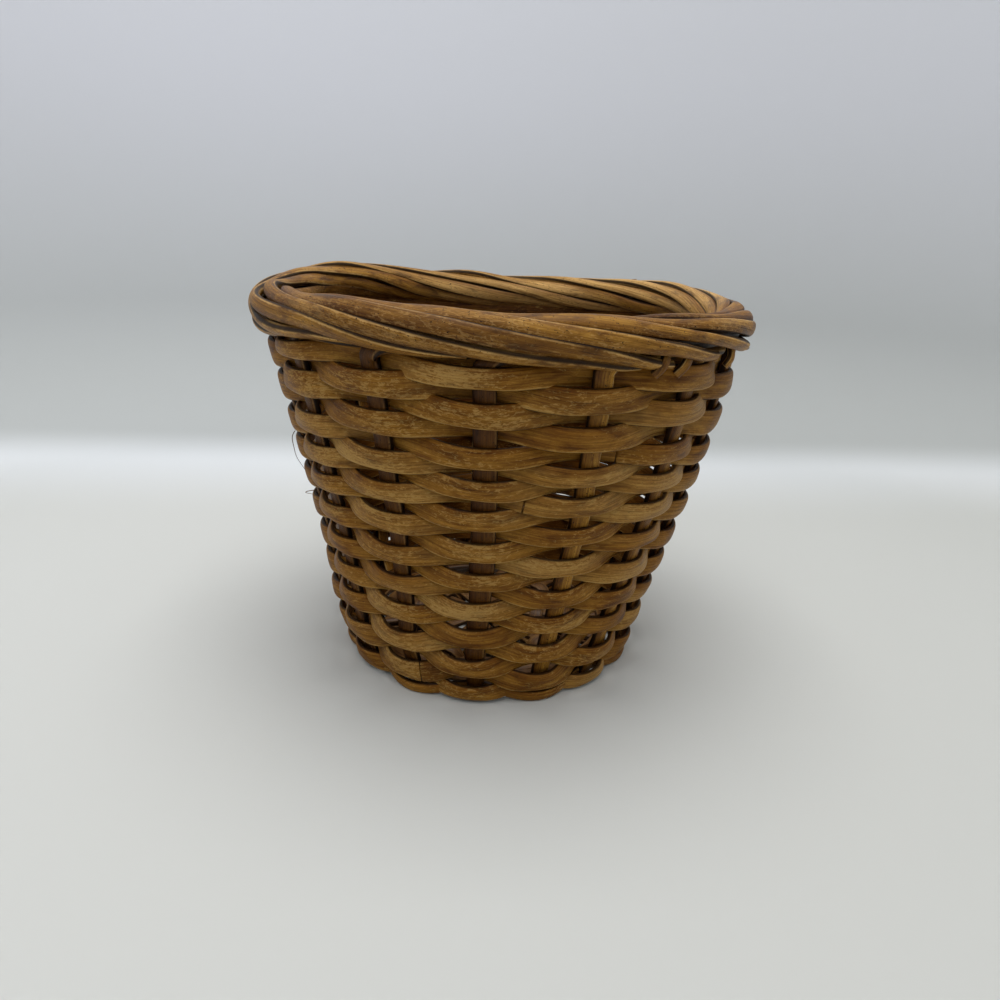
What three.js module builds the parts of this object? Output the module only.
// A round wicker basket planter: upright stakes, flat cane woven round them in one rising spiral,
// a rolled border made of the stakes' own tails, and a woven base of crossed sticks.
// Millimetres, +Z up, origin on the floor under the middle of the basket.
import * as THREE from "three";

// The basket as a whole
const rimDiameter = 250;
const shoulderInset = 0.5;
const footDiameter = 151.8;
const borderHeight = 182;
const shoulderGap = 2.9;
const borderRise = 3;
const borderRiseAngle = 135;
const clearance = 0.3;

// The stakes, one piece each from the base to the end of the border. The base has as many stick ends,
// and their number is odd, so that each round of the weave passes them the other way.
const laneCount = 4;
const stakeCount = 4 * laneCount - 1;
const frontStakeAngle = -93.5;
const stakeWidth = 9;
const stakeThickness = 4.4;
const footBend = 4;
const footBendShares = [0.5, 1];
const footFlat = 3;
const legWidth = 7;
const legThickness = 3.2;
const legHold = 16.4;
const legPoint = 4;
const legPointThickness = 1.9;
const canePlaneShare = 0.29;

// The border: each stake turns right, rolls once round the hoop and stops short of the eighth stake on
const hoopDiameter = 9.6;
const strandThickness = 4.4;
const ropeStrandCount = 8;
const strandStartAngle = 7;
const strandEdgeShare = 0.12;
const strandFaceShare = 0.6;
const strandEndGap = 6.4;
const shortestStationAngle = 1;
const turnLength = 12;
const turnRiseShare = 0.5;
const turnSweepShare = 0.6;
const turnNarrowingShare = 1.6;
const turnStationShares = [0, 0.3, 0.65];
const ropeGap = 0.5;
const staveGap = 0.9;

// The wall weavers, flat cane that is round on its outer face
const weaverWidth = 8.6;
const weaverFaceWidth = 5.6;
const weaverThickness = 2.8;
const roundLap = 0.6;
const crossingTiltAngle = 22;
const dipAtFoot = 2.25;
const dipAtRim = 1;
const weaverCount = 7;
const tipGapCount = 3;
const startGapCount = 12;
const crossingHoldShare = 0.2;
const buttGap = 1.2;
const floorGap = 1.2;

// The base: crossed sticks held by flat cane
const stickWidth = 6;
const stickFaceShare = 0.7;
const stickThickness = 3.2;
const stickSpacing = 7.4;
const crossTurnShare = 1.75;
const stickSetBack = 6.9;
const baseCaneWidth = 7.4;
const baseCaneFaceWidth = 6;
const baseCaneThickness = 2.4;
const baseCanePitch = 8.2;
const baseCaneStart = 29;
const baseCaneSetBack = 13.5;
const baseCaneFloorGap = 0.6;
const baseCaneLevelShare = 0.42;

const radians = Math.PI / 180;
const stakeStep = 360 / stakeCount;
const footRadius = footDiameter / 2;
const stickEndRadius = footRadius - stickSetBack;
const baseCaneEnd = footRadius - baseCaneSetBack;
const strandRadius = hoopDiameter / 2 + ropeGap + strandThickness / 2;
const borderRadius = strandRadius + strandThickness / 2;
const hoopRadius = rimDiameter / 2 - borderRadius;
const shoulderRadius = hoopRadius - shoulderInset;
const wallHeight = borderHeight - borderRadius - shoulderGap;
const wallSlope = (shoulderRadius - footRadius) / wallHeight;
const wallLean = Math.atan(wallSlope);

const weaverMaterial = new THREE.MeshStandardMaterial({
  color: 0x8f6c38, roughness: 0.62, metalness: 0, flatShading: true,
});
const stakeMaterial = new THREE.MeshStandardMaterial({
  color: 0x94733f, roughness: 0.6, metalness: 0, flatShading: true,
});
const baseMaterial = new THREE.MeshStandardMaterial({
  color: 0x7d5f35, roughness: 0.7, metalness: 0, flatShading: true,
});

// A point from its angle round the basket in degrees, its distance from the axis and its height.
function polar(angle, radius, height) {
  return new THREE.Vector3(
    radius * Math.cos(angle * radians),
    radius * Math.sin(angle * radians),
    height,
  );
}

// The direction that points away from the axis at an angle, leaning up by the second angle.
function outward(angle, leanUp = 0) {
  return polar(angle, Math.cos(leanUp), Math.sin(leanUp));
}

// Distance of the stakes' middle line from the axis at a height.
function wallRadius(height) {
  return footRadius + wallSlope * height;
}

// The rim is not quite level, because the basket is made by hand, and the wall below follows it.
function rise(angle, height) {
  const share = Math.min(1, height / wallHeight);
  return share * borderRise * Math.cos((angle - borderRiseAngle) * radians);
}

function borderCentre(angle) {
  return borderHeight + rise(angle, borderHeight);
}

// Cane that is oval: wide faces with bevelled edges, as pairs of across and through.
function ovalOutline(width, thickness) {
  const flat = canePlaneShare * width;
  return [
    [width / 2, 0], [flat, thickness / 2], [-flat, thickness / 2],
    [-width / 2, 0], [-flat, -thickness / 2], [flat, -thickness / 2],
  ];
}

// Cane that is flat on its inner face and narrower on its outer face.
function halfRoundOutline(width, faceWidth, thickness) {
  return [
    [width / 2, -thickness / 2], [faceWidth / 2, thickness / 2],
    [-faceWidth / 2, thickness / 2], [-width / 2, -thickness / 2],
  ];
}

// One cross-section in space: the outline set on two directions at a centre.
function section(centre, across, through, outline) {
  return outline.map(([a, t]) =>
    centre.clone().addScaledVector(across, a).addScaledVector(through, t));
}

// A closed surface through equal cross-sections, with flat ends, or joined into a ring.
function loft(sections, isRing = false) {
  const sides = sections[0].length;
  const count = sections.length;
  const points = sections.flat();
  const triangles = [];
  for (let i = 0; i < (isRing ? count : count - 1); i += 1) {
    for (let k = 0; k < sides; k += 1) {
      const a = i * sides + k;
      const b = i * sides + ((k + 1) % sides);
      const c = ((i + 1) % count) * sides + ((k + 1) % sides);
      const d = ((i + 1) % count) * sides + k;
      triangles.push([a, b, c], [a, c, d]);
    }
  }
  if (!isRing) {
    const last = (count - 1) * sides;
    for (let k = 1; k < sides - 1; k += 1) {
      triangles.push([0, k + 1, k], [last, last + k, last + k + 1]);
    }
  }
  const volume = triangles.reduce((sum, [a, b, c]) =>
    sum + points[a].dot(points[b].clone().cross(points[c])), 0);
  if (volume < 0) triangles.forEach((triangle) => triangle.reverse());
  const geometry = new THREE.BufferGeometry().setFromPoints(points);
  geometry.setIndex(triangles.flat());
  geometry.computeVertexNormals();
  return geometry;
}

function namedMesh(name, geometry, material) {
  const mesh = new THREE.Mesh(geometry, material);
  mesh.name = name;
  return mesh;
}

const twoDigits = (number) => String(number).padStart(2, "0");

// Wall weavers. A place on the spiral is counted in gaps between stakes. The spiral rises to the left,
// passes outside the stakes at even counts and inside them at odd ones.
const roundPitch = weaverWidth - roundLap;
const spiralFoot = floorGap + dipAtFoot;
const plainRounds = (wallHeight - spiralFoot - weaverWidth) / roundPitch;
const spiralLength = Math.floor(stakeCount * (plainRounds + 2));
const weaveOffset = (stakeThickness + weaverThickness) / 2 + clearance;

function spiralAngle(count) {
  return frontStakeAngle - stakeStep * (count - startGapCount);
}

// Outside is 1, inside is -1, and 0 is halfway across a gap.
function weaveSide(count) {
  const nearest = Math.round(count);
  const away = Math.abs(count - nearest);
  const reach = Math.min(1, (0.5 - away) / (0.5 - crossingHoldShare));
  return nearest % 2 === 0 ? reach : -reach;
}

// The first and last rounds taper to a tip, so that the wall starts and ends level.
function spiralWidth(count) {
  const fromEnd = Math.min(count, spiralLength - count) / stakeCount;
  if (fromEnd >= 1) return weaverWidth;
  return THREE.MathUtils.lerp(roundPitch, weaverWidth, fromEnd ** 3) * fromEnd
    - 2 * clearance * (1 - fromEnd);
}

function spiralHeight(count) {
  const width = spiralWidth(count);
  const rising = THREE.MathUtils.clamp(count - stakeCount, 0, spiralLength - 2 * stakeCount);
  const middle = spiralFoot + weaverWidth / 2 + (roundPitch * rising) / stakeCount;
  if (count < stakeCount) return spiralFoot + width / 2;
  if (count > spiralLength - stakeCount) return middle + (weaverWidth - width) / 2;
  return middle;
}

function weaverSection(count) {
  const passing = weaveSide(count);
  const level = spiralHeight(count);
  const dip = THREE.MathUtils.lerp(dipAtFoot, dipAtRim, level / wallHeight);
  const angle = spiralAngle(count);
  const height = level - dip * passing + rise(angle, level);
  const away = Math.abs(count - Math.round(count));
  const chord = away < crossingHoldShare + 0.01 ? Math.cos(away * stakeStep * radians) : 1;
  const radius = (wallRadius(height) + (passing * weaveOffset) / Math.cos(wallLean)) / chord;
  const lean = wallLean - crossingTiltAngle * radians * (1 - Math.abs(passing));
  const across = outward(angle, Math.PI / 2 - lean);
  const through = outward(angle, -lean);
  const width = spiralWidth(count);
  const faceWidth = width * (weaverFaceWidth / weaverWidth);
  const outline = halfRoundOutline(width, faceWidth, weaverThickness);
  return section(polar(angle, radius, height), across, through, outline);
}

// The count where a weaver starts, or the last one ends. Each takes an even number of gaps, so that
// neighbours meet end to end behind a stake, and the last takes what is left.
function weaverStart(number) {
  const gapsInAll = spiralLength - 2 * tipGapCount;
  const gapsEach = 2 * Math.ceil(gapsInAll / weaverCount / 2);
  return tipGapCount + Math.min(gapsEach * (number - 1), gapsInAll);
}

// One weaver, between two counts.
function wallWeaver(start, end) {
  const gapLength = wallRadius(spiralHeight(start)) * stakeStep * radians;
  const trim = buttGap / 2 / gapLength;
  const counts = [start + trim];
  for (let gap = start; gap < end; gap += 1) {
    counts.push(gap + crossingHoldShare, gap + 0.5, gap + 1 - crossingHoldShare);
  }
  counts.push(end - trim);
  return loft(counts.map(weaverSection));
}

// Stakes. Each is drawn in the upright plane at its own angle up to the shoulder, and then turns right.
const strandRate = 360 / (ropeStrandCount * stakeStep);
const strandTurn = turnLength / hoopRadius / radians;
const strandEnd = ropeStrandCount * stakeStep - strandEndGap / hoopRadius / radians;
const strandStation = stakeStep / 2;
const legHeight = baseCaneFloorGap + baseCaneThickness + clearance + legThickness / 2;
const legEndRadius = baseCaneEnd - legHold;

// A point of the border strand, the given angle to the right of its stake, and the way to the hoop.
function strandFrame(stakeAngle, ahead) {
  const angle = stakeAngle + ahead;
  const round = (strandRate * ahead - strandStartAngle - 180) * radians;
  const radius = hoopRadius + strandRadius * Math.sin(round);
  const height = borderCentre(angle) + strandRadius * Math.cos(round);
  return {
    centre: polar(angle, radius, height),
    toHoop: outward(angle, Math.PI / 2 - round).negate(),
  };
}

// The strands lie side by side round the hoop like staves, so each is wider outside than inside.
function strandOutline() {
  const half = (radius) => radius * Math.tan(Math.PI / ropeStrandCount) - staveGap / 2;
  const edge = strandThickness * strandEdgeShare;
  const back = strandThickness / 2;
  const inner = half(strandRadius - back);
  const middle = half(strandRadius + edge);
  return [
    [middle, -edge], [inner, back], [-inner, back],
    [-middle, -edge], [-middle * strandFaceShare, -back], [middle * strandFaceShare, -back],
  ];
}

// A cross-section square to a direction of travel, with its thickness as near as it can be to through.
function squareSection(centre, travel, through, outline) {
  const across = new THREE.Vector3().crossVectors(through, travel).normalize();
  const squared = new THREE.Vector3().crossVectors(travel, across).normalize();
  return section(centre, across, squared, outline);
}

function stakeLeg(angle) {
  const footHeight = stakeThickness / 2;
  const bendSize = footBend * Math.tan((Math.PI / 2 - wallLean) / 2);
  const bendStart = wallRadius(footHeight) - bendSize;
  const level = outward(angle);
  const up = new THREE.Vector3(0, 0, -1);
  const slopeStart = baseCaneEnd + baseCaneWidth / 2 + clearance;
  const slopeEnd = bendStart - footFlat;
  const stations = [
    [legEndRadius, legHeight, legPoint, legPointThickness],
    [legEndRadius + legPoint, legHeight, legWidth, legThickness],
    [slopeStart, legHeight, legWidth, legThickness],
    [slopeEnd, footHeight, stakeWidth, stakeThickness],
    [bendStart, footHeight, stakeWidth, stakeThickness],
  ];
  const sections = stations.map(([radius, height, width, thickness]) =>
    squareSection(polar(angle, radius, height), level, up, ovalOutline(width, thickness)));
  for (const share of footBendShares) {
    const turned = share * (Math.PI / 2 - wallLean);
    const radius = bendStart + footBend * Math.sin(turned);
    const height = footHeight + footBend * (1 - Math.cos(turned));
    sections.push(squareSection(polar(angle, radius, height), outward(angle, turned),
      outward(angle, turned - Math.PI / 2), ovalOutline(stakeWidth, stakeThickness)));
  }
  return sections;
}

function stakeTurn(angle) {
  const shoulder = wallHeight + rise(angle, wallHeight);
  const from = polar(angle, wallRadius(shoulder), shoulder);
  const start = strandFrame(angle, strandTurn);
  const ahead = strandFrame(angle, strandTurn + 1).centre.sub(start.centre).normalize();
  const upWall = outward(angle, Math.PI / 2 - wallLean);
  const curve = new THREE.CubicBezierCurve3(
    from, from.clone().addScaledVector(upWall, (start.centre.z - from.z) * turnRiseShare),
    start.centre.clone().addScaledVector(ahead, -turnLength * turnSweepShare), start.centre,
  );
  const upright = ovalOutline(stakeWidth, stakeThickness);
  const rolled = strandOutline();
  return turnStationShares.map((share) => {
    const through = outward(angle, -wallLean).lerp(start.toHoop, share).normalize();
    const narrowed = Math.min(1, share * turnNarrowingShare);
    const outline = upright.map(([a, t], i) => [
      THREE.MathUtils.lerp(a, rolled[i][0], narrowed),
      THREE.MathUtils.lerp(t, rolled[i][1], narrowed),
    ]);
    return squareSection(curve.getPoint(share), curve.getTangent(share), through, outline);
  });
}

function borderStrand(angle) {
  const stations = [strandTurn];
  for (let ahead = strandStation; ahead < strandEnd - shortestStationAngle; ahead += strandStation) {
    if (ahead > strandTurn + shortestStationAngle) stations.push(ahead);
  }
  stations.push(strandEnd);
  return stations.map((ahead) => {
    const here = strandFrame(angle, ahead);
    const travel = strandFrame(angle, ahead + 0.5).centre.sub(strandFrame(angle, ahead - 0.5).centre);
    return squareSection(here.centre, travel.normalize(), here.toHoop, strandOutline());
  });
}

function stake(index) {
  const angle = frontStakeAngle + stakeStep * index;
  return loft([...stakeLeg(angle), ...stakeTurn(angle), ...borderStrand(angle)]);
}

function rimHoop() {
  const steps = 2 * stakeCount;
  const sides = 6;
  const sections = [];
  for (let i = 0; i < steps; i += 1) {
    const angle = frontStakeAngle + (360 * i) / steps;
    const centre = polar(angle, hoopRadius, borderCentre(angle));
    const outline = [];
    for (let k = 0; k < sides; k += 1) {
      const round = (2 * Math.PI * k) / sides;
      outline.push([(hoopDiameter / 2) * Math.cos(round), (hoopDiameter / 2) * Math.sin(round)]);
    }
    sections.push(section(centre, new THREE.Vector3(0, 0, 1), outward(angle), outline));
  }
  return loft(sections, true);
}

// Base sticks: half lie one way and half across them, and one stops in the middle, so that an end
// spreads out to each stake.
const stickHeight = legHeight + legThickness / 2 + clearance + stickThickness / 2;
const crossLift = (stickThickness + clearance) / 2;
const crossHalf = (stickSpacing * laneCount) / 2 + clearance;
const crossAngle = frontStakeAngle + stakeStep * crossTurnShare;

// The ends in order round the basket, as the side of the crossing that each leaves by and its lane.
// The second lane of the last side stays empty.
const stickEnds = [];
for (let side = 0; side < 4; side += 1) {
  for (let lane = 0; lane < laneCount; lane += 1) {
    if (side < 3 || lane !== 1) stickEnds.push({ side, lane });
  }
}

// Where a stick end leaves the crossing.
function crossPoint({ side, lane }, along, height) {
  const direction = crossAngle + 90 * side;
  const offset = (lane - (laneCount - 1) / 2) * stickSpacing;
  return polar(direction, along, height).add(polar(direction + 90, offset, 0));
}

function stickArm(end, lift) {
  const angle = frontStakeAngle + stakeStep * stickEnds.indexOf(end);
  const levelRadius = baseCaneStart - baseCaneWidth / 2 - clearance;
  return [
    polar(angle, stickEndRadius, stickHeight),
    polar(angle, levelRadius, stickHeight),
    crossPoint(end, crossHalf, stickHeight + lift),
  ];
}

// A stick runs on to the end that faces its own, or stops in the middle where there is none.
function baseStick(end) {
  const lift = end.side === 0 ? -crossLift : crossLift;
  const facing = stickEnds.find(({ side, lane }) =>
    side === end.side + 2 && lane === laneCount - 1 - end.lane);
  const rest = facing
    ? stickArm(facing, lift).reverse()
    : [crossPoint(end, -crossHalf + stickSpacing / 2, stickHeight + lift)];
  const line = [...stickArm(end, lift), ...rest];
  const outline = halfRoundOutline(stickWidth, stickWidth * stickFaceShare, stickThickness);
  const up = new THREE.Vector3(0, 0, 1);
  return loft(line.map((point, i) => {
    const before = line[Math.max(0, i - 1)];
    const after = line[Math.min(line.length - 1, i + 1)];
    const travel = after.clone().sub(before).setZ(0).normalize();
    return section(point, new THREE.Vector3().crossVectors(up, travel), up, outline);
  }));
}

// The base cane, over and under the sticks in a spiral. Where it meets the legs it goes under them too.
function baseCaneSection(count) {
  const radius = baseCaneStart + (baseCanePitch * count) / stakeCount;
  const nearest = Math.round(count);
  const away = Math.abs(count - nearest);
  const reach = Math.min(1, (0.5 - away) / (0.5 - baseCanePlateau(radius)));
  const over = stickHeight + (stickThickness + baseCaneThickness) / 2 + clearance;
  const underLeg = baseCaneFloorGap + baseCaneThickness / 2;
  const underStick = stickHeight - (stickThickness + baseCaneThickness) / 2 - clearance;
  const meetsLeg = radius + baseCaneWidth / 2 > legEndRadius - baseCanePitch / stakeCount;
  const under = meetsLeg ? underLeg : underStick;
  const middle = (over + under) / 2;
  const height = middle + (nearest % 2 === 0 ? over - middle : under - middle) * reach;
  const outline = halfRoundOutline(baseCaneWidth, baseCaneFaceWidth, baseCaneThickness);
  const angle = frontStakeAngle + stakeStep * count;
  return section(polar(angle, radius, height), outward(angle), new THREE.Vector3(0, 0, 1), outline);
}

// The share of a gap that the cane stays level for on each side of a stick, to clear stick and leg.
function baseCanePlateau(radius) {
  const gapLength = (radius - baseCaneWidth / 2) * stakeStep * radians;
  return Math.min(baseCaneLevelShare, (legWidth / 2 + clearance) / gapLength);
}

function baseCane() {
  const gaps = Math.floor((stakeCount * (baseCaneEnd - baseCaneStart)) / baseCanePitch);
  const counts = [];
  for (let gap = 0; gap < gaps; gap += 1) {
    const plain = baseCanePlateau(baseCaneStart + (baseCanePitch * (gap + 0.5)) / stakeCount);
    counts.push(gap + plain, gap + 0.5, gap + 1 - plain);
  }
  return loft(counts.map(baseCaneSection));
}

const basket = new THREE.Group();
for (let index = 0; index < stakeCount; index += 1) {
  basket.add(namedMesh(`stake_${twoDigits(index + 1)}`, stake(index), stakeMaterial));
}
for (let number = 1; number <= weaverCount; number += 1) {
  const geometry = wallWeaver(weaverStart(number), weaverStart(number + 1));
  basket.add(namedMesh(`wall_weaver_${number}`, geometry, weaverMaterial));
}
basket.add(namedMesh("rim_hoop", rimHoop(), stakeMaterial));
stickEnds.filter(({ side }) => side < 2).forEach((end, i) => {
  basket.add(namedMesh(`base_stick_${i + 1}`, baseStick(end), baseMaterial));
});
basket.add(namedMesh("base_cane", baseCane(), baseMaterial));

export default basket;
